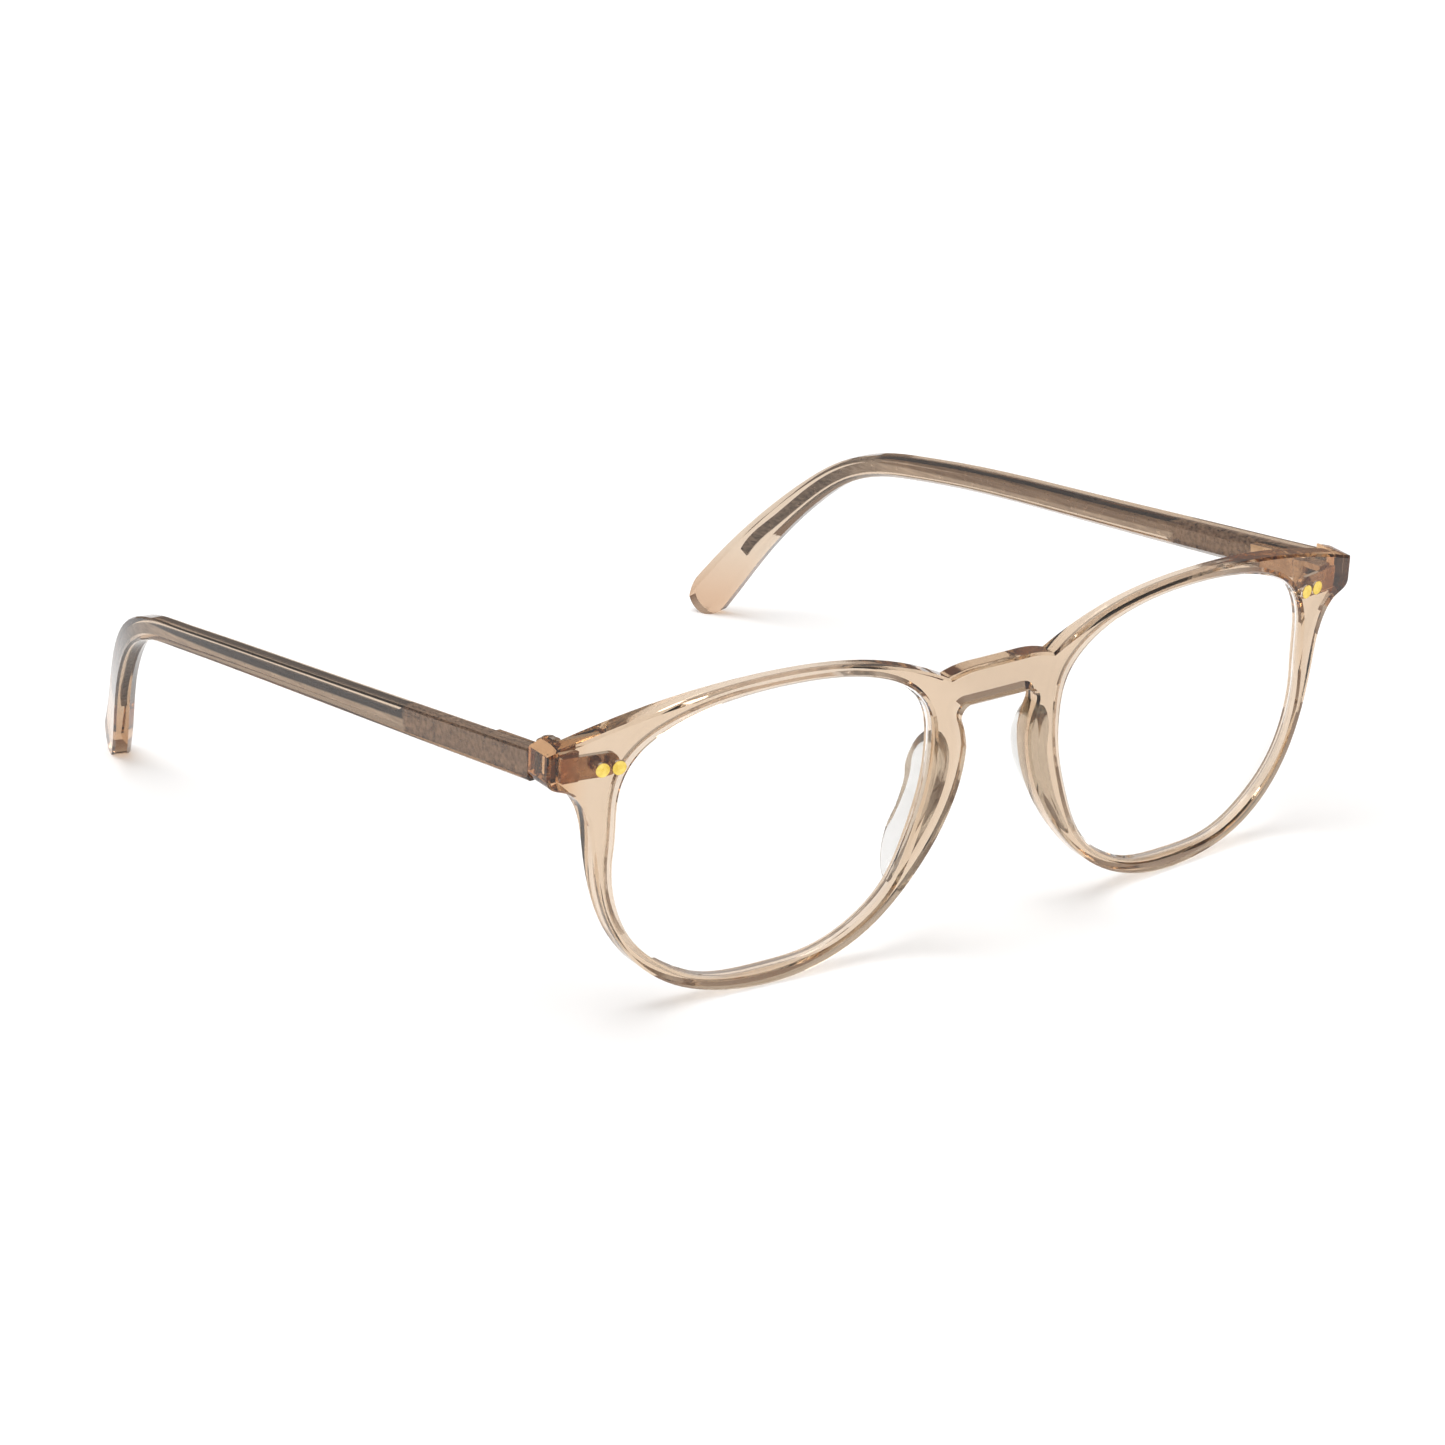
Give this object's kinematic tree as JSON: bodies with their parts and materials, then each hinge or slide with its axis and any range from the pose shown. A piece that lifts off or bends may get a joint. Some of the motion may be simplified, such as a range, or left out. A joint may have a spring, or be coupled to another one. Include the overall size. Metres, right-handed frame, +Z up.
{
  "type": "glasses",
  "caption": "Clear acetate glasses with a keyhole bridge, blue light lenses and riveted hinges, so the temples fold in behind the front.",
  "frame": {"origin": "on the table under the middle of the open glasses, midway between the front of the bridge and the temple tips", "axes": "+Z up; -Y is the way the wearer looks, so the front faces -Y; +X is the wearer's left; X = 0 is the plane of symmetry"},
  "size_m": [0.1406, 0.1518, 0.0457],
  "materials": {
    "front_acetate": "clear peach crystal acetate, polished",
    "temple_acetate": "clear peach crystal acetate, polished",
    "lens": "clear coated lens",
    "pad": "clear colourless acetate",
    "hinge_metal": "nickel-brown plated hinge metal",
    "rivet_gold": "polished gold",
    "screw_steel": "bright steel",
    "core_metal": "etched nickel silver core wire"
  },
  "bodies": {
    "front": {"front_frame": "front_acetate", "lens_left": "lens", "lens_right": "lens", "nose_pad_left": "pad", "nose_pad_right": "pad", "front_hinge_left": "hinge_metal", "front_hinge_right": "hinge_metal", "rivet_outer_left": "rivet_gold", "rivet_outer_right": "rivet_gold", "rivet_inner_left": "rivet_gold", "rivet_inner_right": "rivet_gold", "hinge_screw_left": "screw_steel", "hinge_screw_right": "screw_steel"},
    "temple_left_body": {"temple_left": "temple_acetate", "temple_core_left": "core_metal", "temple_hinge_left": "hinge_metal"},
    "temple_right_body": {"temple_right": "temple_acetate", "temple_core_right": "core_metal", "temple_hinge_right": "hinge_metal"}
  },
  "joints": [
    {"name": "fold_left", "type": "hinge", "parent": "front", "child": "temple_left_body", "pos_m": [0.0655, -0.06159, 0.03729], "axis": [0, 0, 1], "range_deg": [0, 84]},
    {"name": "fold_right", "type": "hinge", "parent": "front", "child": "temple_right_body", "pos_m": [-0.0655, -0.06159, 0.03729], "axis": [0, 0, -1], "range_deg": [0, 69]}
  ]
}
